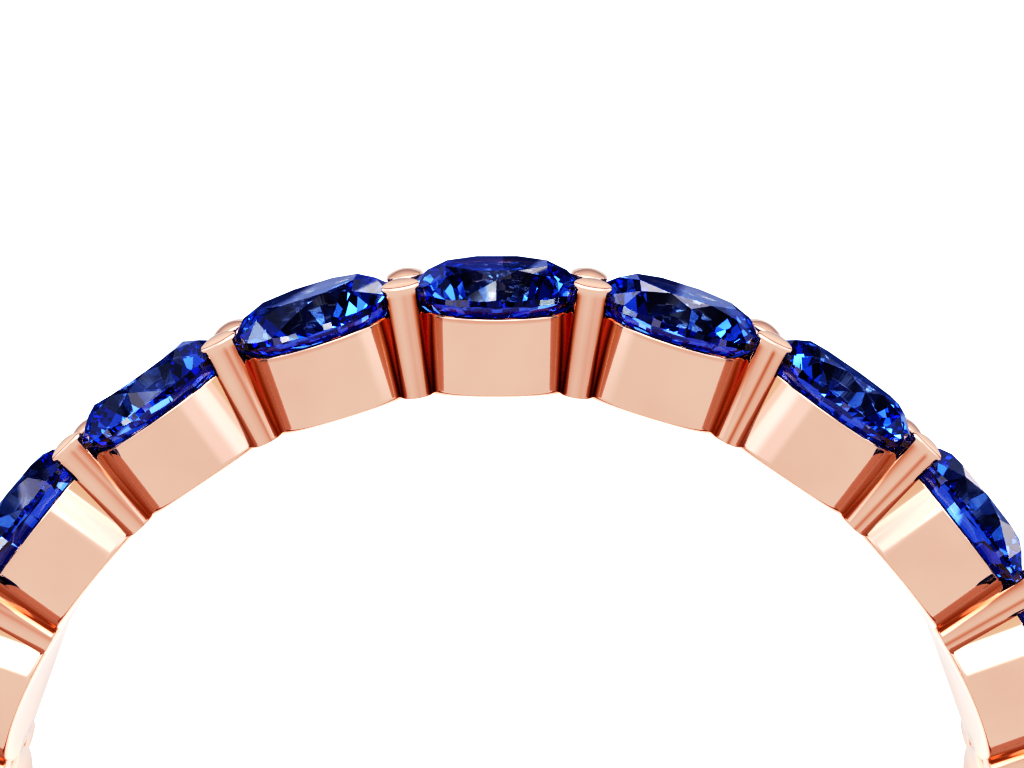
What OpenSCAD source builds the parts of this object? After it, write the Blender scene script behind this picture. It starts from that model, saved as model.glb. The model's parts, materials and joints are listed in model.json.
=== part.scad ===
// Eternity ring, lying on its side: one metal setting and a full row of round stones.
// Millimetres. Z is the axis of the finger hole and the origin is the hole's middle.
// Each stone sits in a round cup, and two leaning prongs stand in every joint between cups.
// Stone 1 is at +Y, and the numbers run clockwise as seen from +Z.

/* [Ring] */
// Diameter of the finger hole
bore_diameter = 17.3; // [14:0.1:22]
// Number of stones in the row
stone_count = 21; // [17:1:27]
// Metal between a stone's point and the finger hole
floor_thickness = 0.2; // [0.15:0.01:0.4]

/* [Stones] */
// Gap between two neighbouring stones
stone_gap = 0.13; // [0.08:0.01:0.2]
// Slope of the main facets below the girdle, in degrees
pavilion_angle = 41; // [39:0.5:43]
// Slope of the kite facets above the girdle, in degrees
crown_angle = 34.5; // [31:0.5:37]
// Width of the table as a share of the stone's diameter
table_share = 0.57; // [0.5:0.01:0.62]
// Height of the girdle between its upper and lower corners
girdle_height = 0.135; // [0.08:0.005:0.2]
// Length of the star facets as a share of the way from table to girdle
star_share = 0.5; // [0.4:0.01:0.6]
// Length of the lower half facets as a share of the stone's radius
lower_half_share = 0.77; // [0.7:0.01:0.85]
// Straight girdle edges under each half facet
girdle_steps = 4; // [1:1:4]

/* [Cups] */
// How far the girdle stands out over the cup's wall
cup_inset = 0.105; // [0.08:0.005:0.14]
// Width of the cup's rim around the stone
rim_width = 0.09; // [0.07:0.005:0.12]
// Bevel on the outer edge of the rim
rim_bevel = 0.035; // [0.02:0.005:0.05]
// Room between a stone and the metal
stone_clearance = 0.02; // [0.01:0.005:0.03]

/* [Prongs] */
// Diameter of a prong's shaft
prong_diameter = 0.558; // [0.46:0.01:0.68]
// Diameter of the head's edge
head_diameter = 0.63; // [0.56:0.01:0.76]
// Height of the head's edge above the girdle
head_rise = 0.197; // [0.16:0.005:0.24]
// Length over which the shaft widens to the head
flare_length = 0.22; // [0.1:0.01:0.3]
// Height of the dome on the head
dome_height = 0.13; // [0.08:0.01:0.18]
// Distance of a foot from the mid-plane as a share of the stone's radius
foot_share = 0.5036; // [0.44:0.01:0.56]
// Distance of a head from the mid-plane as a share of the stone's radius
head_share = 0.405; // [0.36:0.01:0.46]

/* [Hidden] */
$fn = 96;

bore_r = bore_diameter / 2;
half_pitch = 180 / stone_count;
// a round brilliant repeats eight times round its own axis
eighth = 360 / 8;

// heights are distances from the ring's axis
culet_h = bore_r + floor_thickness;
stone_r = (culet_h * tan(half_pitch) - stone_gap / 2 / cos(half_pitch))
    / (1 - tan(pavilion_angle) * tan(half_pitch));
girdle_low_h = culet_h + stone_r * tan(pavilion_angle);
girdle_top_h = girdle_low_h + girdle_height;

// the corners of one eighth of a round brilliant
table_r = stone_r * table_share / cos(eighth / 2);
table_h = girdle_top_h + (stone_r - table_r) * tan(crown_angle);
star_r = stone_r * (table_share + (1 - table_share) * star_share);
star_h = girdle_top_h + (stone_r - star_r * cos(eighth / 2)) * tan(crown_angle);
lower_r = stone_r * (1 - lower_half_share);
lower_h = culet_h + lower_r * cos(eighth / 2) * tan(pavilion_angle);

cup_r = stone_r - cup_inset;
rim_h = girdle_low_h - (stone_r - cup_r + rim_width) * tan(pavilion_angle);
// cups and prongs start this far inside the finger hole, which then trims them
trim = 0.4;

prong_r = prong_diameter / 2;
head_r = head_diameter / 2;
foot_offset = stone_r * foot_share;
head_offset = stone_r * head_share;
head_edge_h = girdle_top_h + head_rise;
lean = atan((foot_offset - head_offset) / (head_edge_h - bore_r));
prong_length = (head_edge_h - bore_r) / cos(lean);
dome_sphere_r = (head_r * head_r + dome_height * dome_height) / 2 / dome_height;

function two_digits(i) = str(i < 10 ? "0" : "", i);
function stone_name(i) = str("stone_", two_digits(i));

function on_circle(r, a, h) = [r * cos(a), r * sin(a), h];

// height at the girdle of the flat half facet whose corners a, b and c are given
function plane_h(a, b, c, x, y) =
    let (n = cross(b - a, c - a))
    a[2] - (n[0] * (x - a[0]) + n[1] * (y - a[1])) / n[2];

// corners of one half facet along the girdle, from the angle a0 to the angle a1
function girdle_arc(tip, h, a0, a1) =
    let (p0 = on_circle(stone_r, a0, h), p1 = on_circle(stone_r, a1, h))
    [for (s = [0:girdle_steps - 1])
        let (
            a = a0 + (a1 - a0) * s / girdle_steps,
            p = on_circle(stone_r, a, h)
        )
        [p[0], p[1], s == 0 ? h : plane_h(tip, p0, p1, p[0], p[1])]
    ];

// the closed edge above or below the girdle: two half facets in each eighth of the stone
function girdle_ring(r, tip_h, h) =
    [for (k = [0:7])
        let (tip = on_circle(r, eighth * k, tip_h), next = on_circle(r, eighth * (k + 1), tip_h))
        for (p = concat(
            girdle_arc(tip, h, eighth * k, eighth * (k + 0.5)),
            girdle_arc(next, h, eighth * (k + 0.5), eighth * (k + 1))
        )) p
    ];

// a round brilliant with its point down, its height measured from the ring's axis
module brilliant() {
    steps = girdle_steps;
    ring = 16 * steps;
    points = concat(
        [for (k = [0:7]) on_circle(table_r, eighth * (k + 0.5), table_h)],
        [for (k = [0:7]) on_circle(star_r, eighth * k, star_h)],
        girdle_ring(star_r, star_h, girdle_top_h),
        girdle_ring(lower_r, lower_h, girdle_low_h),
        [for (k = [0:7]) on_circle(lower_r, eighth * k, lower_h)],
        [[0, 0, culet_h]]
    );
    star = 8;
    top = 16;
    low = top + ring;
    lower = low + ring;
    culet = lower + 8;
    function wrap(k) = (k + 8) % 8;
    function around(j) = (j + ring) % ring;
    faces = concat(
        [[for (k = [7:-1:0]) k]],
        [for (k = [0:7]) [wrap(k - 1), k, star + k]],
        [for (k = [0:7]) [k, star + wrap(k + 1), top + steps * (2 * k + 1), star + k]],
        [for (k = [0:7]) concat([star + k], [for (s = [steps:-1:0]) top + 2 * steps * k + s])],
        [for (k = [0:7]) concat(
            [star + wrap(k + 1)],
            [for (s = [2 * steps:-1:steps]) top + around(2 * steps * k + s)]
        )],
        [for (j = [0:ring - 1]) [top + j, top + around(j + 1), low + around(j + 1), low + j]],
        [for (k = [0:7]) concat([lower + k], [for (s = [0:steps]) low + 2 * steps * k + s])],
        [for (k = [0:7]) concat(
            [lower + wrap(k + 1)],
            [for (s = [steps:2 * steps]) low + around(2 * steps * k + s)]
        )],
        [for (k = [0:7]) [culet, lower + k, low + steps * (2 * k + 1), lower + wrap(k + 1)]]
    );
    polyhedron(points, faces);
}

// puts a shape that stands on the ring's axis at an angle around the ring
module around_ring(angle) {
    rotate([0, 0, -angle])
        rotate([-90, 0, 0])
            children();
}

module stone(i) {
    color([0.05, 0.09, 0.36])
        around_ring(2 * half_pitch * (i - 1))
            brilliant();
}

// one cup, before the finger hole and the stone's seat are cut
module cup() {
    rotate_extrude()
        polygon([
            [0, bore_r - trim],
            [cup_r, bore_r - trim],
            [cup_r, rim_h - rim_bevel],
            [cup_r - rim_bevel, rim_h],
            [0, rim_h]
        ]);
}

// what is cut away above a head so that a dome is left on it
module above_dome() {
    difference() {
        translate([0, prong_length - dome_height])
            square(3 * dome_height + head_r);
        translate([0, prong_length + dome_height - dome_sphere_r])
            circle(r = dome_sphere_r);
    }
}

// a straight shaft that stands on its foot and widens to a domed head
module prong() {
    flare = (head_r - prong_r) / flare_length;
    rotate_extrude()
        difference() {
            polygon([
                [0, -trim],
                [prong_r, -trim],
                [prong_r, prong_length - flare_length],
                [head_r + flare * 2 * dome_height, prong_length + 2 * dome_height],
                [0, prong_length + 2 * dome_height]
            ]);
            above_dome();
        }
}

// two prongs that lean towards each other over one joint
module prong_pair() {
    for (side = [-1, 1])
        translate([0, side * foot_offset, bore_r])
            rotate([side * lean, 0, 0])
                prong();
}

// the room that a stone takes, with the clearance all round
module seat() {
    c = stone_clearance;
    rotate_extrude()
        polygon([
            [0, culet_h - c * (1 + (lower_h - culet_h) / lower_r)],
            [lower_r + c, lower_h - c],
            [stone_r + c, girdle_low_h - c],
            [stone_r + c, girdle_top_h + c],
            [star_r + c, star_h + c],
            [table_r + c, table_h + c],
            [0, table_h + c]
        ]);
}

module setting() {
    color([0.92, 0.74, 0.65])
        difference() {
            union() {
                for (i = [0:stone_count - 1])
                    around_ring(2 * half_pitch * i)
                        cup();
                for (i = [0:stone_count - 1])
                    around_ring(2 * half_pitch * (i + 0.5))
                        prong_pair();
            }
            for (i = [0:stone_count - 1])
                around_ring(2 * half_pitch * i)
                    seat();
            cylinder(r = bore_r, h = 4 * cup_r, center = true);
        }
}

setting();
for (i = [1:stone_count])
    stone(i);
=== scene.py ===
import json
import math

import bmesh
import bpy
import numpy as np
from mathutils import Matrix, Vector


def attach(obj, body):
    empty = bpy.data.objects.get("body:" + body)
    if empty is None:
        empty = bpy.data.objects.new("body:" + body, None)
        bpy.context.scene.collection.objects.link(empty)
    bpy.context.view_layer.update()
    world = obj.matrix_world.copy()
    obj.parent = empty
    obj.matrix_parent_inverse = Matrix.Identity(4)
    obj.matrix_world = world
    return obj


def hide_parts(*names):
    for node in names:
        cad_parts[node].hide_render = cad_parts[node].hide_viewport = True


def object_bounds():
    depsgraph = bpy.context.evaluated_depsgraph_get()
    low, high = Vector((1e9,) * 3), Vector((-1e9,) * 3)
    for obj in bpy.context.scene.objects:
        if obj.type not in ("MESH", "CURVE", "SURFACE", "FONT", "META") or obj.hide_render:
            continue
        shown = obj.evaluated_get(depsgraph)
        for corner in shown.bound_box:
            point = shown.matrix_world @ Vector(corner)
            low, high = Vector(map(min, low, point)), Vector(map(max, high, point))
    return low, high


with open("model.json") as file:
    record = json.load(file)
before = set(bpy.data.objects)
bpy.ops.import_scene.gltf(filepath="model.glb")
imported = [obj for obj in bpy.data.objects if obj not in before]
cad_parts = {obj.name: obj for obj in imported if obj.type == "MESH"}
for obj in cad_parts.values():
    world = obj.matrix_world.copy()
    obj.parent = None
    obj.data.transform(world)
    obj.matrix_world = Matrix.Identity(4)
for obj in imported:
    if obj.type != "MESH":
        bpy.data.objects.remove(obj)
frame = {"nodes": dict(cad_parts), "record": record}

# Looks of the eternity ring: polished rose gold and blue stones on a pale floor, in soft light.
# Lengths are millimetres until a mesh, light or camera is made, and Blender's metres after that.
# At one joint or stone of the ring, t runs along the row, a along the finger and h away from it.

CAD_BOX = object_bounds()
MM = 0.001

# the ring's stones and finger hole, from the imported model
STONES = sorted(name for name in frame["nodes"] if name.startswith("stone_"))
HALF_PITCH = math.pi / len(STONES)
BORE = next(m for m in frame["record"]["mounts"] if m["name"] == "finger_bore")
BORE_R = BORE["dims"]["r_mm"]

# the setting's sizes, as in the CAD source
CUP_INSET = 0.105
RIM_WIDTH = 0.09
STONE_CLEARANCE = 0.02
PRONG_R = 0.279
HEAD_R = 0.315
HEAD_RISE = 0.197
FLARE_LENGTH = 0.22
DOME_HEIGHT = 0.13
FOOT_SHARE = 0.5036
HEAD_SHARE = 0.405

# soft edges that the polished metal has in the photograph
RIM_ROUND = 0.05
CUP_FOOT_ROUND = 0.1
PRONG_FOOT_ROUND = 0.05
LIP_ROUND = 0.07
# painted shade in the crevice beside a prong, by the angle from the front in degrees, on cup and
# prong
CUP_PAINTED_SHADE = ((44, 0), (48, 0.20), (53, 0.24), (56, 0.5), (64, 0.6), (69, 1))
PRONG_PAINTED_SHADE = ((28, 0), (56, 1), (64, 1), (72, 0.15))
# at its sides a cup's normals lean down, most under the rim and not below this height. The lean
# starts between these angles, and grows on the far side as the painted crevice shade gets weaker
SIDE_FROM = (46, 56)
SIDE_LEAN = 0.4
FAR_LEAN = 0.5
SIDE_LEAN_HEIGHT = 0.5
# where the painted crevice shade is weak, a cup's normals swing back to the front from this angle
# on, as on the rounded solder of a joint, this many degrees for each degree, down to the last angle
SOLDER_FROM = 46
SOLDER_SWING = 2.2
SOLDER_LAST = 5
# painted dark lines of shade along the prongs left and right of +Y: angle round the prong and depth
LEFT_PAINTED_LINE = (0.39, 0.5)
RIGHT_PAINTED_LINE = (0.0, 0.7)
NO_PAINTED_LINE = (0, 0)
PAINTED_LINE_WIDTH = 0.2
# the rim's normals lean up no more than this, in degrees
RIM_LEAN = 50
# painted shade of the rim and of the wall under it, by the depth under the rim: dark red along the
# rim's top and slightly darker further down the wall
RIM_PAINTED_SHADES = ((0, 0.7), (0.01, 0.25), (0.018, 0), (0.035, 0), (0.05, -0.2), (0.085, -0.12), (0.11, 0))
# the painted crevice shade is full within this angle of +Y, in degrees, and fades over the next one
# to this share, but on prongs to no less than the last one
FULL_PAINTED_SHADE_WITHIN = 12
PAINTED_SHADE_FADE_ANGLE = 18
SIDE_PAINTED_SHADE = 0.15
PRONG_KEEPS = 0.5
# the height on a prong up to which the painted shade in its crevice is full, the height over which
# it gets weaker, its share above that, and the height over which it ends under the head
CREVICE_TOP = 1.35
CREVICE_FADE = 0.3
UPPER_CREVICE = 0.7
HEAD_CREVICE_FADE = 0.08
# a prong's front is flatter from this height on, over this height, by this share, and fully so
# within this angle of its front, in degrees
FLAT_FROM = 0.7
FLAT_FADE = 0.7
FLATNESS = 0.6
FLAT_WITHIN = 60
# faint painted streaks of shade along the prongs: their depth and their waves round a prong
PAINTED_STREAK = 0.08
PAINTED_STREAK_WAVES = (7, 2)
# how much a head's edge drops towards its front, for each millimetre outwards: the photograph
# shows it on the upper side of the ring alone
HEAD_DROPS = {1: 0.16, -1: 0}
# steps in which a place on a dropped head is traced back to where it was
HEAD_STEPS = 12
# a prong's foot lies this much behind the cups' inner face, so that no two faces coincide
FOOT_RECESS = 0.004
# the slope that the flare has where it meets the lip, in degrees from the shaft
FLARE_END = 22

CUP_SEGMENTS = 96
PRONG_SEGMENTS = 32
ROUND_STEPS = 5
FLARE_STATIONS = 6
# shares of the inner face's radius at which it has a ring of points
INNER_RINGS = (0.75, 0.5, 0.25, 0)
# places closer than this count as one: corners of a stone, of a cup's wall, and of a prong
NEAR = 0.01
WALL_MARGIN = 0.001
SAME = 1e-5

# the floor is this far under the lowest stone, and the card that stands for it this far over it
FLOOR_GAP = 0.002
FLOOR_SIZE = 4000
CARD_GAP = 0.0005
CARD_SIZE = 400

# the photograph's camera, with its angles in degrees
CAMERA_PLACE = (0.195, 14.555, 27.023)
CAMERA_PITCH = 12.443
CAMERA_YAW = 0.119
CAMERA_LENS = 58.0


def stone_sizes():
    """Radii and heights of a stone's corners, measured on the stone that stands at +Y."""
    mesh = frame["nodes"][STONES[0]].data
    co = np.array([v.co for v in mesh.vertices]) / MM
    radius = np.hypot(co[:, 0], co[:, 2])
    height = co[:, 1]
    stone_r = radius.max()
    girdle = radius > 0.999 * stone_r
    low, top = height[girdle].min(), height[girdle].max()
    below = (height < low - NEAR) & (radius > NEAR)
    table = height > height.max() - NEAR
    above = (height > top + NEAR) & (height < height.max() - NEAR)
    return {
        "culet_h": height.min(),
        "lower_r": radius[below].mean(),
        "lower_h": height[below].mean(),
        "stone_r": stone_r,
        "girdle_low_h": low,
        "girdle_top_h": top,
        "star_r": radius[above].mean(),
        "star_h": height[above].mean(),
        "table_r": radius[table].mean(),
        "table_h": height.max(),
    }


SIZES = stone_sizes()
STONE_R = SIZES["stone_r"]
PAVILION_SLOPE = (SIZES["girdle_low_h"] - SIZES["culet_h"]) / STONE_R
CUP_R = STONE_R - CUP_INSET
RIM_H = SIZES["girdle_low_h"] - (CUP_INSET + RIM_WIDTH) * PAVILION_SLOPE
HEAD_EDGE_H = SIZES["girdle_top_h"] + HEAD_RISE
FOOT_OFFSET = STONE_R * FOOT_SHARE
HEAD_OFFSET = STONE_R * HEAD_SHARE
LEAN = math.atan((FOOT_OFFSET - HEAD_OFFSET) / (HEAD_EDGE_H - BORE_R))
PRONG_LENGTH = (HEAD_EDGE_H - BORE_R) / math.cos(LEAN)


# ---- closed shells with the exact normal at every corner ----

class Shell:
    """Points, triangles, and at each triangle's corners the normal and how deep it lies.

    The depth in a crevice sets the painted shade there: 0 to 1 on a cup and 0 to -1 on a prong,
    where the painted shade has other colours.
    """

    def __init__(self, points, triangles, normals, crevice=None):
        self.points = points
        self.triangles = triangles
        self.normals = normals
        self.crevice = np.zeros(triangles.shape) if crevice is None else crevice

    def moved(self, matrix):
        points = self.points @ matrix[:3, :3].T + matrix[:3, 3]
        return Shell(points, self.triangles, self.normals @ matrix[:3, :3].T, self.crevice)


def joined(shells):
    """Several shells as one."""
    starts = np.cumsum([0] + [len(s.points) for s in shells[:-1]])
    return Shell(
        np.concatenate([s.points for s in shells]),
        np.concatenate([s.triangles + start for s, start in zip(shells, starts)]),
        np.concatenate([s.normals for s in shells]),
        np.concatenate([s.crevice for s in shells]),
    )


def facing_out(shell):
    """The same shell with each triangle wound the way that its normals point."""
    p = shell.points[shell.triangles]
    face = np.cross(p[:, 1] - p[:, 0], p[:, 2] - p[:, 0])
    wrong = (face * shell.normals.sum(axis=1)).sum(axis=1) < 0
    triangles, normals, crevice = shell.triangles.copy(), shell.normals.copy(), shell.crevice.copy()
    for corners in (triangles, normals, crevice):
        corners[wrong] = corners[wrong][:, [0, 2, 1]]
    return Shell(shell.points, triangles, normals, crevice)


def unit(vectors):
    return vectors / np.linalg.norm(vectors, axis=-1, keepdims=True)


def ring_of_points(station, circle, lift):
    """One profile station turned round the axis: its points and their normals."""
    radius, height, out, up, on_bore = station
    x, y = radius * circle
    z = np.full_like(x, height)
    nx, ny = out * circle
    if on_bore:
        rise, slope_x, slope_y = lift(x, y)
        z = z + rise
        nx, ny = nx - slope_x * up, ny - slope_y * up
    normals = np.stack([nx, ny, np.full_like(x, up)], axis=1)
    return np.stack([x, y, z], axis=1), unit(normals)


def revolved(runs, segments, lift=None):
    """A closed shell from a profile that starts and ends on the axis.

    A run is a list of stations with a smooth outline: radius, height, the normal's two parts, and
    whether the height is measured from the finger hole's surface, which lift gives. Runs meet in
    a crease, so the next one starts with the last one's final place.
    """
    turn = np.linspace(0, 2 * math.pi, segments, endpoint=False)
    circle = np.stack([np.cos(turn), np.sin(turn)])
    around = np.roll(np.arange(segments), -1)
    points, rows, triangles, normals = [], [], [], []

    def add_row(station, row_points):
        start = sum(len(p) for p in points)
        if station[0] == 0:
            points.append(row_points[:1])
            rows.append(np.full(segments, start))
        else:
            points.append(row_points)
            rows.append(np.arange(start, start + segments))

    for run in runs:
        placed = [ring_of_points(station, circle, lift) for station in run]
        if not rows:
            add_row(run[0], placed[0][0])
        for i in range(1, len(run)):
            add_row(run[i], placed[i][0])
            a, b = rows[-2], rows[-1]
            na, nb = placed[i - 1][1], placed[i][1]
            if run[i][0] > 0:
                triangles.append(np.stack([a, b[around], b], axis=1))
                normals.append(np.stack([na, nb[around], nb], axis=1))
            if run[i - 1][0] > 0:
                triangles.append(np.stack([a, a[around], b[around]], axis=1))
                normals.append(np.stack([na, na[around], nb[around]], axis=1))
    return Shell(np.concatenate(points), np.concatenate(triangles), np.concatenate(normals))


def arc(centre, radius, start, end, on_bore=0, steps=ROUND_STEPS):
    """Stations along an arc. The angles are the normal's, in degrees above straight out."""
    stations = []
    for angle in np.radians(np.linspace(start, end, steps + 1)):
        out, up = math.cos(angle), math.sin(angle)
        stations.append((centre[0] + radius * out, centre[1] + radius * up, out, up, on_bore))
    return stations


def straight(start, end, on_bore=0):
    """Two stations of a straight outline. Walked from start to end, metal is on its right."""
    along = np.subtract(end, start)
    out, up = unit(np.array([-along[1], along[0]]))
    return [(*start, out, up, on_bore), (*end, out, up, on_bore)]


# ---- places around the ring ----

def spin(angle):
    """Takes places at a stone or joint to those of one that lies angle further back."""
    m = np.eye(4)
    m[0, 0] = m[2, 2] = math.cos(angle)
    m[0, 2] = math.sin(angle)
    m[2, 0] = -math.sin(angle)
    return m


def in_ring(angle):
    """Takes places (t, a, h) at an angle round the ring to (x, y, z)."""
    swap = np.eye(4)[[0, 2, 1, 3]]
    return swap @ spin(angle)


def on_prong(side):
    """Takes places on a prong, with its axis upright, to its joint's (t, a, h)."""
    m = np.eye(4)
    m[1:3, 1:3] = [[math.cos(LEAN), -side * math.sin(LEAN)], [side * math.sin(LEAN), math.cos(LEAN)]]
    m[1:3, 3] = [side * FOOT_OFFSET, BORE_R]
    return m


# ---- the metal ----

def seat_outline():
    """The room that a stone takes, with its clearance, from its point to its table."""
    c = STONE_CLEARANCE
    slope = (SIZES["lower_h"] - SIZES["culet_h"]) / SIZES["lower_r"]
    return [
        (0, SIZES["culet_h"] - c * (1 + slope)),
        (SIZES["lower_r"] + c, SIZES["lower_h"] - c),
        (STONE_R + c, SIZES["girdle_low_h"] - c),
        (STONE_R + c, SIZES["girdle_top_h"] + c),
        (SIZES["star_r"] + c, SIZES["star_h"] + c),
        (SIZES["table_r"] + c, SIZES["table_h"] + c),
        (0, SIZES["table_h"] + c),
    ]


def front_angle(places):
    """The angle of places or normals from a cup's or prong's front, 0 to 90 degrees."""
    return np.degrees(np.arctan2(np.abs(places[..., 0]), np.abs(places[..., 1])))


def painted_shade_in(corners, normals, depths):
    """Painted shade for corners in the crevice beside a cup or prong, by the angle from its front."""
    share = np.interp(front_angle(corners), *zip(*depths))
    sideways = np.clip(np.hypot(normals[..., 0], normals[..., 1]) * 2 - 1, 0, 1)
    return share * sideways


def cup_lift(t, a):
    """Height of the finger hole's surface under a place in a cup, and its two slopes."""
    height = np.sqrt(BORE_R ** 2 - t ** 2)
    return height, -t / height, 0 * a


def soldered(normals, shade_weakness):
    """A cup's normals with the sides turned back to the front, by how weak the painted crevice shade
    is.
    """
    around = np.hypot(normals[..., 0], normals[..., 1])
    angle = front_angle(normals)
    past = np.maximum(angle - SOLDER_FROM, 0)
    back = np.maximum(SOLDER_FROM - SOLDER_SWING * past, SOLDER_LAST)
    turned = np.radians(np.where(past > 0, angle + (back - angle) * shade_weakness, angle))
    x = np.sign(normals[..., 0]) * around * np.sin(turned)
    y = np.sign(normals[..., 1]) * around * np.cos(turned)
    return np.stack([x, y, normals[..., 2]], axis=-1)


def cup_runs():
    """From the seat's point up to the rim, down the wall and over the inner face to its middle."""
    apex, lower, girdle = seat_outline()[:3]
    share = (RIM_H - lower[1]) / (girdle[1] - lower[1])
    edge = (lower[0] + share * (girdle[0] - lower[0]), RIM_H)
    inner_r = CUP_R - CUP_FOOT_ROUND
    lean = math.radians(RIM_LEAN)
    outside = [(*edge, math.cos(lean), math.sin(lean), 0)]
    for radius, height, _, up, _ in arc((CUP_R - RIM_ROUND, RIM_H - RIM_ROUND), RIM_ROUND, 90, 0):
        turned = lean * math.sqrt(max(up, 0))
        outside.append((radius, height, math.cos(turned), math.sin(turned), 0))
    outside += [(CUP_R, RIM_H - depth, 1, 0, 0) for depth, _ in RIM_PAINTED_SHADES[-2:]]
    outside += [(CUP_R, RIM_H - SIDE_LEAN_HEIGHT, 1, 0, 0)]
    outside += arc((inner_r, CUP_FOOT_ROUND), CUP_FOOT_ROUND, 0, -90, on_bore=1)
    outside += [(inner_r * part, 0, 0, -1, 1) for part in INNER_RINGS]
    return [straight(apex, lower), straight(lower, edge), outside]


def cup(shade_weakness, far):
    """One cup: its seat, rim, round wall and the inner face in the finger hole.

    Its first argument goes from 0 where the painted shade in the crevices beside it is strongest to 1
    where it is weakest. Far is 1 or -1, the sign of t on the side that lies further from +Y.
    """
    runs = cup_runs()
    shell = revolved(runs, CUP_SEGMENTS, cup_lift)
    rim_edge_r = runs[-1][0][0]
    from_axis = np.hypot(shell.points[:, 0], shell.points[:, 1])
    wall_from = min(CUP_R - CUP_FOOT_ROUND, rim_edge_r) - WALL_MARGIN
    on_wall = (from_axis > wall_from)[shell.triangles]
    corners = shell.points[shell.triangles]
    under_rim = RIM_H - corners[..., 2]
    # painted shade in the crevices beside the prongs
    deep = painted_shade_in(corners, shell.normals, CUP_PAINTED_SHADE) * on_wall

    far_lean, near_lean = SIDE_LEAN + shade_weakness * FAR_LEAN, SIDE_LEAN * (1 - shade_weakness)
    lean = np.where(corners[..., 0] * far > 0, far_lean, near_lean)
    side = np.interp(front_angle(corners), SIDE_FROM, (0, 1)) * on_wall
    shell.normals[..., 2] -= lean * side * np.clip(1 - under_rim / SIDE_LEAN_HEIGHT, 0, 1)
    turned = soldered(shell.normals, shade_weakness)
    shell.normals = unit(np.where(on_wall[..., None], turned, shell.normals))

    # painted shade along the rim, where no crevice shade is painted
    rim = np.interp(under_rim, *zip(*RIM_PAINTED_SHADES)) * on_wall
    shell.crevice = np.where(deep > 0, deep, rim)
    return shell


def prong_lift(side):
    """Height of the finger hole's surface along a leaning prong, and its two slopes."""
    bore_r = BORE_R + FOOT_RECESS

    def lift(x, y):
        height = np.sqrt(bore_r ** 2 - x ** 2)
        rise = (height - BORE_R - side * y * math.sin(LEAN)) / math.cos(LEAN)
        return rise, -x / height / math.cos(LEAN), np.full_like(y, -side * math.tan(LEAN))
    return lift


def prong_outline():
    """From the foot's middle up the shaft and over the lip to the top of the dome."""
    foot = [(share * (PRONG_R - PRONG_FOOT_ROUND), 0, 0, -1, 1) for share in (0, 0.6)]
    foot += arc((PRONG_R - PRONG_FOOT_ROUND, PRONG_FOOT_ROUND), PRONG_FOOT_ROUND, -90, 0, on_bore=1)
    lip_r = HEAD_R - LIP_ROUND
    # the flare is a soft curve that leaves the shaft straight and ends on the lip
    flare_end = math.radians(FLARE_END)
    wide = lip_r + LIP_ROUND * math.cos(flare_end) - PRONG_R
    start_h = PRONG_LENGTH - FLARE_LENGTH
    long = PRONG_LENGTH - LIP_ROUND * math.sin(flare_end) - start_h
    power = long * math.tan(flare_end) / wide
    flare = []
    for u in np.linspace(0, 1, FLARE_STATIONS):
        slope = power * wide / long * u ** (power - 1)
        out, up = unit(np.array([1, -slope]))
        flare.append((PRONG_R + wide * u ** power, start_h + long * u, out, up, 0))
    dome_edge = 90 - 2 * math.degrees(math.atan((DOME_HEIGHT - LIP_ROUND) / lip_r))
    lip = arc((lip_r, PRONG_LENGTH), LIP_ROUND, -FLARE_END, dome_edge)
    dome_r = lip_r / math.cos(math.radians(dome_edge)) + LIP_ROUND
    centre_h = PRONG_LENGTH + LIP_ROUND - dome_r + (DOME_HEIGHT - LIP_ROUND)
    dome = arc((0, centre_h), dome_r, dome_edge, 90)
    dome[-1] = (0, centre_h + dome_r, 0, 1, 0)
    return foot + flare + lip[1:] + dome[1:]


def scratch_object(name, shell, material_index):
    mesh = bpy.data.meshes.new(name)
    mesh.from_pydata(shell.points.tolist(), [], shell.triangles.tolist())
    for _ in range(2):
        mesh.materials.append(None)
    mesh.polygons.foreach_set("material_index", [material_index] * len(mesh.polygons))
    obj = bpy.data.objects.new(name, mesh)
    bpy.context.scene.collection.objects.link(obj)
    return obj


def remove_object(obj):
    mesh = obj.data
    bpy.data.objects.remove(obj)
    bpy.data.meshes.remove(mesh)


def less(shell, cutters):
    """Cuts the cutters from a shell. Gives points, triangles, and which triangles a cutter made."""
    body = scratch_object("cut_body", facing_out(shell), 0)
    tools = []
    for cutter in cutters:
        tool = scratch_object("cut_tool", facing_out(cutter), 1)
        modifier = body.modifiers.new("cut", "BOOLEAN")
        modifier.operation = "DIFFERENCE"
        modifier.solver = "MANIFOLD"
        modifier.object = tool
        tools.append(tool)
    bpy.context.view_layer.update()
    result = body.evaluated_get(bpy.context.evaluated_depsgraph_get())
    mesh = result.to_mesh()
    points = np.array([v.co for v in mesh.vertices])
    mesh.calc_loop_triangles()
    triangles = np.array([t.vertices for t in mesh.loop_triangles])
    from_tool = np.array([t.material_index for t in mesh.loop_triangles]) == 1
    result.to_mesh_clear()
    for obj in [body] + tools:
        remove_object(obj)
    return points, triangles, from_tool


def profile_normals(places, outline):
    """Normals at places (radius, height) on an outline given as stations."""
    stations = np.array(outline, float)
    a, b = stations[:-1], stations[1:]
    along = b[:, :2] - a[:, :2]
    offset = places[:, None, :] - a[None, :, :2]
    share = (offset * along).sum(-1) / np.maximum((along * along).sum(-1), 1e-12)
    share = np.clip(share, 0, 1)
    away = np.linalg.norm(offset - share[..., None] * along, axis=-1)
    best = away.argmin(axis=1)
    share = share[np.arange(len(places)), best][:, None]
    return a[best, 2:4] * (1 - share) + b[best, 2:4] * share


def turned_out(points, flat):
    """Normals in space from their parts out and up, at points round an upright axis."""
    radial = points[:, :2] / np.maximum(np.hypot(points[:, 0], points[:, 1]), 1e-9)[:, None]
    return unit(np.concatenate([radial * flat[:, :1], flat[:, 1:]], axis=1))


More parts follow.
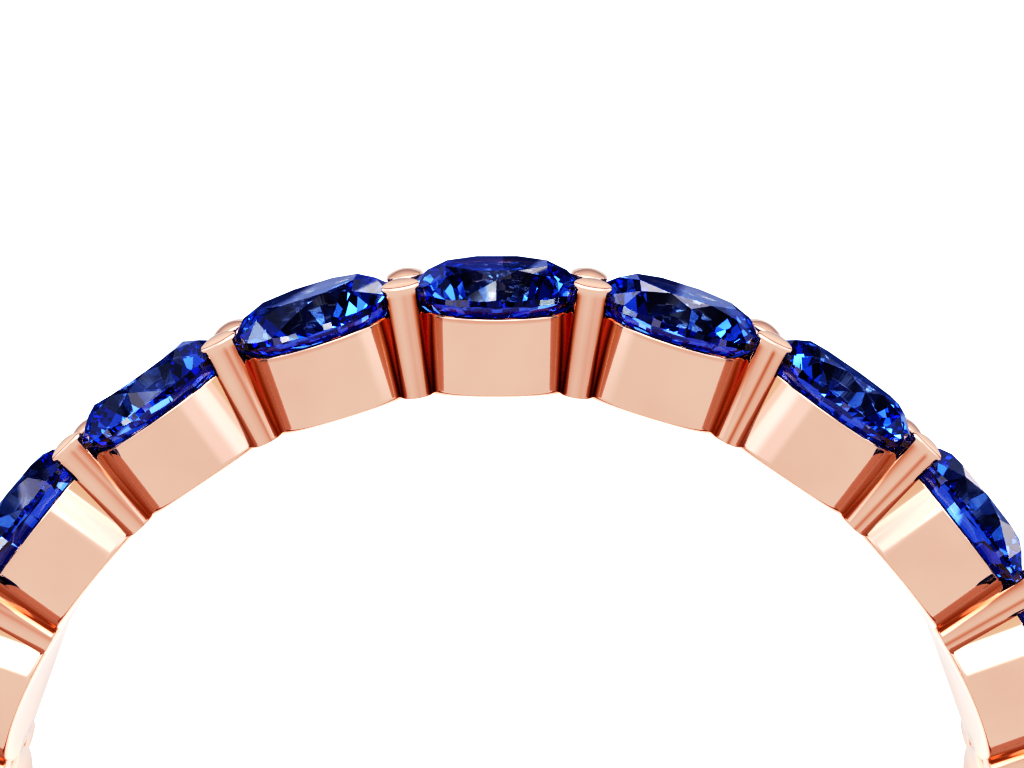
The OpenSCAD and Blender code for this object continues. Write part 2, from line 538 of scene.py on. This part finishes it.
def cut_face_normals(corners, seats):
    """Normals of the faces that two seats leave in a prong. They point towards the stone."""
    outline = seat_outline()
    bands = [straight(a, b) for a, b in zip(outline, outline[1:])]
    middle = corners.mean(axis=1)
    best, normals = np.full(len(corners), 1e9), np.zeros(corners.shape)
    for seat in seats:
        to_seat = np.linalg.inv(seat)
        places = middle @ to_seat[:3, :3].T + to_seat[:3, 3]
        flat_place = np.stack([np.hypot(places[:, 0], places[:, 1]), places[:, 2]], axis=1)
        for band in bands:
            start, end = np.array(band)[:, :2]
            along = end - start
            share = np.clip((flat_place - start) @ along / (along @ along), 0, 1)
            away = np.linalg.norm(flat_place - start - share[:, None] * along, axis=1)
            closer = away < best
            best[closer] = away[closer]
            local = corners[closer] @ to_seat[:3, :3].T + to_seat[:3, 3]
            flat = np.tile(np.array(band[0][2:4]), (local.shape[0] * 3, 1))
            turned = turned_out(local.reshape(-1, 3), flat) @ seat[:3, :3].T
            normals[closer] = turned.reshape(-1, 3, 3)
    return normals


def head_share(height):
    """From 0 where the flare begins to 1 at the head's edge, and its slope."""
    u = np.clip((height - PRONG_LENGTH + FLARE_LENGTH) / FLARE_LENGTH, 0, 1)
    return u * u * (3 - 2 * u), 6 * u * (1 - u) / FLARE_LENGTH


def head_dropped(points, normals, side):
    """Tilts a prong's head, so that its edge is lower at the front. Gives points and normals."""
    share, slope = head_share(points[..., 2])
    outward = HEAD_DROPS[side] * side * points[..., 1]
    moved = points.copy()
    moved[..., 2] -= outward * share
    up = normals[..., 2] / (1 - outward * slope)
    across = normals[..., 1] + HEAD_DROPS[side] * side * share * up
    return moved, unit(np.stack([normals[..., 0], across, up], axis=-1))


def head_restored(points, side):
    """The places that head_dropped moved to these points, found step by step."""
    outward = HEAD_DROPS[side] * side * points[..., 1]
    result = points.copy()
    for _ in range(HEAD_STEPS):
        result[..., 2] = points[..., 2] + outward * head_share(result[..., 2])[0]
    return result


def flattened(corners, normals, side):
    """The prong's normals turned a little to its front, as if polishing had flattened it there."""
    height = np.clip((corners[..., 2] - FLAT_FROM) / FLAT_FADE, 0, 1)
    angle = np.arctan2(normals[..., 0], side * normals[..., 1])
    front = np.clip(2 - np.abs(angle) / math.radians(FLAT_WITHIN), 0, 1)
    turned = angle * (1 - FLATNESS * height * front)
    around = np.hypot(normals[..., 0], normals[..., 1])
    x, y = around * np.sin(turned), side * around * np.cos(turned)
    return np.stack([x, y, normals[..., 2]], axis=-1)


def painted_streaks(corners, side, line):
    """Faint painted streaks of shade along a prong, and one painted dark line."""
    angle = np.arctan2(corners[..., 0], side * corners[..., 1])
    many, few = PAINTED_STREAK_WAVES
    faint = PAINTED_STREAK * (1 + np.sin(many * angle) * np.sin(few * angle + 1))
    line_angle, line_depth = line
    return np.maximum(faint, line_depth * (1 - np.abs(angle - line_angle) / PAINTED_LINE_WIDTH))


def prong(side, line):
    """One prong at its joint, notched where the girdles of both neighbouring stones reach in."""
    outline = prong_outline()
    whole = revolved([outline], PRONG_SEGMENTS, prong_lift(side))
    own = np.zeros(whole.points.shape)
    own[whole.triangles] = whole.normals
    whole.points, own = head_dropped(whole.points, own, side)
    whole.normals = own[whole.triangles]
    seat = seat_outline()
    room = revolved([straight(a, b) for a, b in zip(seat, seat[1:])], CUP_SEGMENTS)
    place = on_prong(side)
    seats = [np.linalg.inv(place) @ spin(angle) for angle in (-HALF_PITCH, HALF_PITCH)]
    points, triangles, from_seat = less(whole, [room.moved(matrix) for matrix in seats])

    # the prong's own corners keep their normals, and new ones take theirs from the outline
    gap = np.linalg.norm(points[:, None] - whole.points[None], axis=2)
    same = gap.argmin(axis=1)
    plain = head_restored(points, side)
    flat_place = np.stack([np.hypot(plain[:, 0], plain[:, 1]), plain[:, 2]], axis=1)
    upright = turned_out(plain, profile_normals(flat_place, outline))
    smooth = head_dropped(plain, upright, side)[1]
    kept = gap.min(axis=1) < SAME
    smooth[kept] = own[same[kept]]

    corners = points[triangles]
    normals = flattened(corners, smooth[triangles], side)
    normals[from_seat] = cut_face_normals(points[triangles[from_seat]], seats)
    # painted shade in the crevices, weaker higher up and gone under the head, with painted streaks
    crevice = painted_shade_in(corners, smooth[triangles], PRONG_PAINTED_SHADE)
    low = np.clip((CREVICE_TOP - corners[..., 2]) / CREVICE_FADE, 0, 1)
    shaft = np.clip((PRONG_LENGTH - HEAD_CREVICE_FADE - corners[..., 2]) / HEAD_CREVICE_FADE, 0, 1)
    crevice *= UPPER_CREVICE + (1 - UPPER_CREVICE) * low
    crevice = shaft * np.maximum(crevice, painted_streaks(corners, side, line))
    crevice[from_seat] = 0
    return Shell(points, triangles, normals, -crevice).moved(place)


def painted_shade_strength(angle):
    """How strong the painted crevice shade is: most at +Y and less to the sides, as in the
    photograph.
    """
    away = math.degrees(min(angle, 2 * math.pi - angle))
    share = min(max((away - FULL_PAINTED_SHADE_WITHIN) / PAINTED_SHADE_FADE_ANGLE, 0), 1)
    return 1 + share * (SIDE_PAINTED_SHADE - 1)


def setting_shell():
    """Every cup and every pair of prongs of the ring."""
    plain, right, left = [
        joined([prong(-1, line), prong(1, line)]) for line in (NO_PAINTED_LINE, RIGHT_PAINTED_LINE, LEFT_PAINTED_LINE)
    ]
    shells = []
    for i in range(len(STONES)):
        angle = 2 * HALF_PITCH * i
        # the painted crevice shade is strongest at +Y and weaker to the sides
        depth = painted_shade_strength(angle)
        shade_weakness = (1 - depth) / (1 - SIDE_PAINTED_SHADE)
        one_cup = cup(shade_weakness, 1 if angle < math.pi else -1).moved(in_ring(angle))
        one_cup.crevice = one_cup.crevice * depth
        shells.append(one_cup)
        angle = 2 * HALF_PITCH * (i + 0.5)
        depth = painted_shade_strength(angle)
        lined = right if angle < math.pi else left
        pair = (plain if depth == 1 else lined).moved(in_ring(angle))
        pair.crevice = pair.crevice * (PRONG_KEEPS + (1 - PRONG_KEEPS) * depth)
        shells.append(pair)
    return facing_out(joined(shells))


def make_setting(material):
    shell = setting_shell()
    mesh = bpy.data.meshes.new("setting_metal")
    mesh.from_pydata((shell.points * MM).tolist(), [], shell.triangles.tolist())
    mesh.polygons.foreach_set("use_smooth", [True] * len(mesh.polygons))
    mesh.normals_split_custom_set(unit(shell.normals).reshape(-1, 3).tolist())
    # how much painted shade each corner has, which the gold's colour reads
    depth = mesh.attributes.new("crevice", "FLOAT", "CORNER")
    depth.data.foreach_set("value", shell.crevice.reshape(-1).tolist())
    mesh.materials.append(material)
    obj = bpy.data.objects.new("setting_metal", mesh)
    bpy.context.scene.collection.objects.link(obj)
    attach(obj, "root")
    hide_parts("setting")
    return obj


# ---- materials ----

def new_material(name):
    """A node material: its tree and its Principled shader."""
    material = bpy.data.materials.new(name)
    material.use_nodes = True
    return material, material.node_tree, material.node_tree.nodes["Principled BSDF"]


def noise(tree, scale, detail=2.0):
    """Noise in the object's own coordinates, which are metres."""
    place = tree.nodes.new("ShaderNodeTexCoord")
    node = tree.nodes.new("ShaderNodeTexNoise")
    node.inputs["Scale"].default_value = scale
    node.inputs["Detail"].default_value = detail
    tree.links.new(place.outputs["Object"], node.inputs["Vector"])
    return node.outputs["Fac"]


def ranged_to(tree, value, from_min, from_max, low, high):
    """Spreads a value from one range over another."""
    node = tree.nodes.new("ShaderNodeMapRange")
    node.inputs["From Min"].default_value = from_min
    node.inputs["From Max"].default_value = from_max
    node.inputs["To Min"].default_value = low
    node.inputs["To Max"].default_value = high
    tree.links.new(value, node.inputs["Value"])
    return node.outputs["Result"]


def ranged(tree, value, low, high):
    """Spreads a value from 0.3 to 0.7, where most noise lies, over low to high."""
    return ranged_to(tree, value, 0.3, 0.7, low, high)


def blended(tree, fac, first, second):
    """A colour between two, by fac."""
    node = tree.nodes.new("ShaderNodeMix")
    node.data_type = "RGBA"
    node.inputs[6].default_value = (*first, 1)
    node.inputs[7].default_value = (*second, 1)
    tree.links.new(fac, node.inputs[0])
    return node.outputs[2]


def colour_ramp(tree, value, stops):
    """A colour by value, through stops that are a place from 0 to 1 and a colour."""
    ramp = tree.nodes.new("ShaderNodeValToRGB")
    elements = ramp.color_ramp.elements
    elements[0].position, elements[1].position = stops[0][0], stops[-1][0]
    elements[0].color, elements[1].color = (*stops[0][1], 1), (*stops[-1][1], 1)
    for place, colour in stops[1:-1]:
        elements.new(place).color = (*colour, 1)
    tree.links.new(value, ramp.inputs["Fac"])
    return ramp.outputs["Color"]


# painted shade: what the gold's colour is multiplied by, from a prong's darkest shade to a cup's
PAINTED_CREVICE_SHADES = [
    (-1, (0.03, 0.01, 0.01)),
    (-0.75, (0.33, 0.10, 0.05)),
    (-0.5, (0.67, 0.38, 0.19)),
    (-0.25, (0.87, 0.76, 0.69)),
    (0, (1, 1, 1)),
    (0.20, (1.0, 0.85, 0.55)),
    (0.50, (1.0, 0.25, 0.10)),
    (0.75, (0.80, 0.08, 0.05)),
    (1, (0.06, 0.01, 0.01)),
]


def rose_gold():
    """Mirror polish with the faint unevenness that a polishing wheel leaves, and painted shade."""
    material, tree, shader = new_material("rose_gold_polished")
    shader.inputs["Metallic"].default_value = 1
    cloud = ranged(tree, noise(tree, 700), 0, 1)
    colour = blended(tree, cloud, (0.693, 0.438, 0.323), (0.718, 0.468, 0.351))
    # painted shade in crevices, along the rim and in streaks, from the mesh's corner values
    depth = tree.nodes.new("ShaderNodeAttribute")
    depth.attribute_name = "crevice"
    place = ranged_to(tree, depth.outputs["Fac"], -1, 1, 0, 1)
    shade = colour_ramp(tree, place, [((v + 1) / 2, tone) for v, tone in PAINTED_CREVICE_SHADES])
    both = tree.nodes.new("ShaderNodeMix")
    both.data_type = "RGBA"
    both.blend_type = "MULTIPLY"
    both.inputs[0].default_value = 1
    tree.links.new(colour, both.inputs[6])
    tree.links.new(shade, both.inputs[7])
    tree.links.new(both.outputs[2], shader.inputs["Base Color"])
    tree.links.new(ranged(tree, noise(tree, 2500), 0.03, 0.07), shader.inputs["Roughness"])
    bump = tree.nodes.new("ShaderNodeBump")
    bump.inputs["Strength"].default_value = 0.02
    bump.inputs["Distance"].default_value = 0.00001
    tree.links.new(noise(tree, 9000, 3), bump.inputs["Height"])
    tree.links.new(bump.outputs["Normal"], shader.inputs["Normal"])
    return material


def blue_stone():
    """Clear cut stone that soaks up red and green on the way through."""
    material, tree, shader = new_material("blue_stone_cut")
    shader.inputs["Transmission Weight"].default_value = 1
    shader.inputs["IOR"].default_value = 1.77
    cloud = ranged(tree, noise(tree, 900), 0, 1)
    colour = blended(tree, cloud, (0.93, 0.95, 1.0), (1.0, 1.0, 1.0))
    tree.links.new(colour, shader.inputs["Base Color"])
    tree.links.new(ranged(tree, noise(tree, 4000), 0.0, 0.004), shader.inputs["Roughness"])
    inside = tree.nodes.new("ShaderNodeVolumeAbsorption")
    inside.inputs["Color"].default_value = (0.05, 0.42, 0.86, 1)
    inside.inputs["Density"].default_value = 700
    tree.links.new(inside.outputs["Volume"], tree.nodes["Material Output"].inputs["Volume"])
    return material


def floor_material():
    """White by its own glow, so that no shadow shows on it."""
    material, tree, shader = new_material("floor_pale")
    cloud = ranged(tree, noise(tree, 60), 0, 1)
    colour = blended(tree, cloud, (0.10, 0.10, 0.10), (0.12, 0.12, 0.12))
    tree.links.new(colour, shader.inputs["Base Color"])
    shader.inputs["Roughness"].default_value = 1
    shader.inputs["Specular IOR Level"].default_value = 0
    shader.inputs["Emission Color"].default_value = (1, 1, 1, 1)
    shader.inputs["Emission Strength"].default_value = 1.0
    return material


# ---- floor, light and camera ----

def light_only(source, receivers):
    """The source's light falls on the receivers alone, though the camera still sees it."""
    group = bpy.data.collections.new(source.name + "_lights")
    for receiver in receivers:
        group.objects.link(receiver)
    source.light_linking.receiver_collection = group


def flat_square(name, material, size, rise):
    """A level square a little under the ring. Its rise is measured from the floor."""
    half = size / 2 * MM
    mesh = bpy.data.meshes.new(name)
    corners = [(-half, -half, 0), (half, -half, 0), (half, half, 0), (-half, half, 0)]
    mesh.from_pydata(corners, [], [(0, 1, 2, 3)])
    mesh.materials.append(material)
    square = bpy.data.objects.new(name, mesh)
    square.location = (0, 0, CAD_BOX[0][2] - (FLOOR_GAP - rise) * MM)
    bpy.context.scene.collection.objects.link(square)
    return square


def direction(azimuth, elevation):
    """A direction round the ring: azimuth 0 is up from the floor, elevation 90 is +Y."""
    az, el = math.radians(azimuth), math.radians(elevation)
    return (math.sin(az) * math.cos(el), math.sin(el), math.cos(az) * math.cos(el))


# for red, green and blue: the knee under which shades deepen, and how fast
SHADES = [(0.66, 2.0), (0.533, 2.0), (0.397, 1.9)]
# where the curve has its points, as shares of the knee
CURVE_PLACES = (0.15, 0.3, 0.45, 0.6, 0.75, 0.9, 1, 1.2)

# light from the dim room, and from the tents on the metal and on the stones
ROOM = 0.05
METAL_TENT = 1.13
STONE_TENT = (0.010, 0.045, 0.21)
METAL_TENT_R = 200
STONE_TENT_R = 190
# each softbox: azimuth and elevation of its middle, half its width and height as tangents,
# softness of its edge, and the light that it adds, or takes away for a dark card
METAL_BOXES = [
    (54, 34, 0.34, 0.24, 0.20, (0.20, 0.28, 0.42)),
    (-56, 34, 0.34, 0.24, 0.20, (0.20, 0.28, 0.42)),
    (78, 34, 0.22, 0.30, 0.30, (0.42, 0.62, 0.84)),
    (-80, 34, 0.22, 0.30, 0.30, (0.42, 0.62, 0.84)),
    (34, 34, 0.012, 0.40, 0.01, (-0.5, -0.5, -0.45)),
    (-36, 34, 0.012, 0.40, 0.01, (-0.5, -0.5, -0.45)),
    (0, 60, 0.55, 0.36, 0.10, (0.60, 0.74, 0.90)),
    (0, 60, 0.40, 0.34, 0.10, (1.4, 1.4, 1.4)),
    (0, -60, 0.40, 0.25, 0.08, (-0.90, -0.95, -0.98)),
]
STONE_BOXES = [
    (-30, -20, 0.10, 0.12, 0.03, (8.0, 8.0, 8.0)),
    (20, 5, 0.07, 0.07, 0.02, (10.0, 10.0, 10.0)),
    (-75, 15, 0.15, 0.12, 0.05, (6.0, 6.0, 6.0)),
    (70, -10, 0.15, 0.10, 0.04, (6.0, 6.0, 6.0)),
    (-10, 50, 0.10, 0.08, 0.02, (8.0, 8.0, 8.0)),
    (40, 40, 0.08, 0.08, 0.02, (8.0, 8.0, 8.0)),
    (-50, 75, 0.10, 0.10, 0.03, (6.0, 6.0, 6.0)),
    (10, 85, 0.08, 0.08, 0.02, (6.0, 6.0, 6.0)),
    (-176, 8, 0.065, 0.10, 0.002, (0.10, 0.10, 0.26)),
    (-163, -8, 0.05, 0.06, 0.05, (0.8, 0.8, 0.9)),
    (-113, 35, 0.08, 0.10, 0.02, (0.9, 1.3, 2.0)),
]
# a softbox counts where the cosine to its middle, negated, is under the first value, and fades
# over the second, so that it has no twin behind
IN_FRONT = (-0.1, 0.05)
# patches on the stones' tent: scale of their noise, its values from none to all, and the light
STONE_PATCHES = [
    (5.0, (0.54, 0.55), (0.50, 0.50, 0.66)),
    (8.3, (0.65, 0.66), (2.6, 2.2, 2.1)),
]
# light from the floor on the metal, by the distance from the ring's axis, up to the last radius
FLOOR_GLOW_R = 40
FLOOR_GLOW = [
    (0, (1.7, 1.7, 1.7)),
    (8.0, (1.7, 1.7, 1.7)),
    (8.6, (1.0, 1.0, 1.0)),
    (10.9, (0.95, 0.95, 0.95)),
    (11.2, (0.58, 0.55, 0.53)),
    (11.8, (0.90, 0.88, 0.86)),
    (14.0, (1.5, 1.5, 1.5)),
    (20.0, (0.55, 0.5, 0.5)),
    (40.0, (0.30, 0.25, 0.25)),
]


def vector_node(tree, operation, a, b):
    node = tree.nodes.new("ShaderNodeVectorMath")
    node.operation = operation
    tree.links.new(a, node.inputs[0])
    node.inputs[1].default_value = b
    return node.outputs["Value"]


def math_node(tree, operation, a, b=None):
    node = tree.nodes.new("ShaderNodeMath")
    node.operation = operation
    for socket, value in zip(node.inputs, (a, b)):
        if value is None:
            continue
        if isinstance(value, (int, float)):
            socket.default_value = value
        else:
            tree.links.new(value, socket)
    return node.outputs[0]


def edge_fade(tree, value, edge, softness):
    """1 where value is inside edge, fading to 0 over softness."""
    node = tree.nodes.new("ShaderNodeMapRange")
    node.interpolation_type = "SMOOTHSTEP"
    node.inputs["From Min"].default_value = edge + softness
    node.inputs["From Max"].default_value = edge
    tree.links.new(value, node.inputs["Value"])
    return node.outputs["Result"]


def softbox_share(tree, towards, azimuth, elevation, half_width, half_height, softness):
    """How much of a softbox is seen in a direction, from 0 to 1."""
    middle = direction(azimuth, elevation)
    across = direction(azimuth + 90, 0)
    upward = tuple(np.cross(middle, across))
    ahead = vector_node(tree, "DOT_PRODUCT", towards, middle)
    share = edge_fade(tree, math_node(tree, "MULTIPLY", ahead, -1), *IN_FRONT)
    for axis, half in ((across, half_width), (upward, half_height)):
        side = vector_node(tree, "DOT_PRODUCT", towards, axis)
        side = math_node(tree, "ABSOLUTE", math_node(tree, "DIVIDE", side, ahead))
        share = math_node(tree, "MULTIPLY", share, edge_fade(tree, side, half, softness))
    return share


def make_world():
    """A dim room behind the tents."""
    world = bpy.data.worlds.new("studio")
    bpy.context.scene.world = world
    world.use_nodes = True
    world.node_tree.nodes["Background"].inputs["Color"].default_value = (ROOM, ROOM, ROOM, 1)


def glow_material(name):
    """Clear and glowing, so that nothing hides behind it: its tree and its emission."""
    material = bpy.data.materials.new(name)
    material.use_nodes = True
    tree = material.node_tree
    tree.nodes.clear()
    glow = tree.nodes.new("ShaderNodeEmission")
    clear = tree.nodes.new("ShaderNodeBsdfTransparent")
    both = tree.nodes.new("ShaderNodeAddShader")
    output = tree.nodes.new("ShaderNodeOutputMaterial")
    tree.links.new(glow.outputs[0], both.inputs[0])
    tree.links.new(clear.outputs[0], both.inputs[1])
    tree.links.new(both.outputs[0], output.inputs["Surface"])
    return material, tree, glow


def object_place(tree):
    return tree.nodes.new("ShaderNodeTexCoord").outputs["Object"]


def added_light(tree, colour, share, tone):
    """The colour, with as much of the tone added as the share says."""
    mix = tree.nodes.new("ShaderNodeMix")
    mix.data_type = "RGBA"
    mix.blend_type = "ADD"
    mix.clamp_factor = False
    mix.inputs[7].default_value = (*tone, 1)
    if isinstance(colour, tuple):
        mix.inputs[6].default_value = (*colour, 1)
    else:
        tree.links.new(colour, mix.inputs[6])
    tree.links.new(share, mix.inputs[0])
    return mix.outputs[2]


def make_tent(name, radius, receivers):
    """A thin glowing tent round everything that lights the receivers alone.

    Gives its node tree, its glow and the direction that a place on it lies in.
    """
    material, tree, glow = glow_material(name)
    towards = tree.nodes.new("ShaderNodeVectorMath")
    towards.operation = "NORMALIZE"
    tree.links.new(object_place(tree), towards.inputs[0])
    mesh = bpy.data.meshes.new(name)
    build = bmesh.new()
    bmesh.ops.create_icosphere(build, subdivisions=4, radius=radius * MM)
    build.to_mesh(mesh)
    build.free()
    mesh.materials.append(material)
    tent = bpy.data.objects.new(name, mesh)
    bpy.context.scene.collection.objects.link(tent)
    light_only(tent, receivers)
    return tree, glow, towards.outputs["Vector"]


def with_boxes(tree, towards, colour, boxes):
    """The colour with the light of each softbox added."""
    for *shape, tone in boxes:
        colour = added_light(tree, colour, softbox_share(tree, towards, *shape), tone)
    return colour


def make_metal_tent(setting):
    """White above the floor, with softboxes and dark cards."""
    tree, glow, towards = make_tent("metal_tent", METAL_TENT_R, [setting])
    colour = with_boxes(tree, towards, (METAL_TENT, METAL_TENT, METAL_TENT), METAL_BOXES)
    tree.links.new(colour, glow.inputs["Color"])
    height = vector_node(tree, "DOT_PRODUCT", towards, (0, 0, 1))
    tree.links.new(math_node(tree, "GREATER_THAN", height, 0), glow.inputs["Strength"])


def make_stone_tent(stones):
    """Dim, with crisp patches and softboxes that the facets pick up, also under the floor."""
    tree, glow, towards = make_tent("stone_tent", STONE_TENT_R, stones)
    colour = with_boxes(tree, towards, STONE_TENT, STONE_BOXES)
    for scale, edge, light in STONE_PATCHES:
        cloud = tree.nodes.new("ShaderNodeTexNoise")
        cloud.inputs["Scale"].default_value = scale
        cloud.inputs["Detail"].default_value = 0
        tree.links.new(towards, cloud.inputs["Vector"])
        share = ranged_to(tree, cloud.outputs["Fac"], *edge, 0, 1)
        colour = added_light(tree, colour, share, light)
    tree.links.new(colour, glow.inputs["Color"])


def make_floor():
    """A white floor that only the camera sees. What the metal sees of it is on a card above it."""
    floor = flat_square("floor", floor_material(), FLOOR_SIZE, 0)
    floor.visible_glossy = False
    floor.visible_transmission = False
    light_only(floor, [floor])


def make_metal_card(setting):
    """What the metal sees of the floor: bright inside the finger hole and in rings outside it."""
    material, tree, glow = glow_material("metal_card")
    length = tree.nodes.new("ShaderNodeVectorMath")
    length.operation = "LENGTH"
    tree.links.new(object_place(tree), length.inputs[0])
    outward = ranged_to(tree, length.outputs["Value"], 0, FLOOR_GLOW_R * MM, 0, 1)
    stops = [(r / FLOOR_GLOW_R, tone) for r, tone in FLOOR_GLOW]
    tree.links.new(colour_ramp(tree, outward, stops), glow.inputs["Color"])
    card = flat_square("metal_card", material, CARD_SIZE, CARD_GAP)
    light_only(card, [setting])


def make_camera():
    data = bpy.data.cameras.new("camera")
    camera = bpy.data.objects.new("camera", data)
    bpy.context.scene.collection.objects.link(camera)
    pitch, yaw = math.radians(CAMERA_PITCH), math.radians(CAMERA_YAW)
    level = math.cos(pitch)
    forward = np.array([math.sin(yaw) * level, -math.sin(pitch), -math.cos(yaw) * level])
    right = np.array([math.cos(yaw), 0, math.sin(yaw)])
    up = np.cross(right, forward)
    turn = Matrix(np.stack([right, up, -forward], axis=1).tolist()).to_4x4()
    camera.matrix_world = Matrix.Translation([c * MM for c in CAMERA_PLACE]) @ turn
    data.sensor_width = 36
    data.lens = CAMERA_LENS
    data.clip_start = 0.5 * MM
    data.clip_end = 10
    bpy.context.scene.camera = camera


def darken_shades(view):
    """Deepens the shades of each channel below its knee, as the photograph's contrast does."""
    view.use_curve_mapping = True
    mapping = view.curve_mapping
    mapping.extend = "EXTRAPOLATED"
    mapping.use_clip = False
    for curve, (knee, power) in zip(mapping.curves, SHADES):
        for share in CURVE_PLACES:
            curve.points.new(share * knee, knee * (share ** power if share < 1 else share))
    mapping.update()


def set_look():
    scene = bpy.context.scene
    scene.view_settings.view_transform = "Standard"
    scene.view_settings.look = "None"
    darken_shades(scene.view_settings)
    scene.cycles.max_bounces = 32
    scene.cycles.transmission_bounces = 32
    scene.cycles.glossy_bounces = 16
    scene.cycles.diffuse_bounces = 3
    scene.cycles.sample_clamp_indirect = 10
    scene.cycles.use_denoising = True


setting = make_setting(rose_gold())
stone_material = blue_stone()
for name in STONES:
    frame["nodes"][name].material_slots[0].material = stone_material
stones = [frame["nodes"][name] for name in STONES]
make_floor()
make_world()
make_metal_tent(setting)
make_metal_card(setting)
make_stone_tent(stones)
make_camera()
set_look()
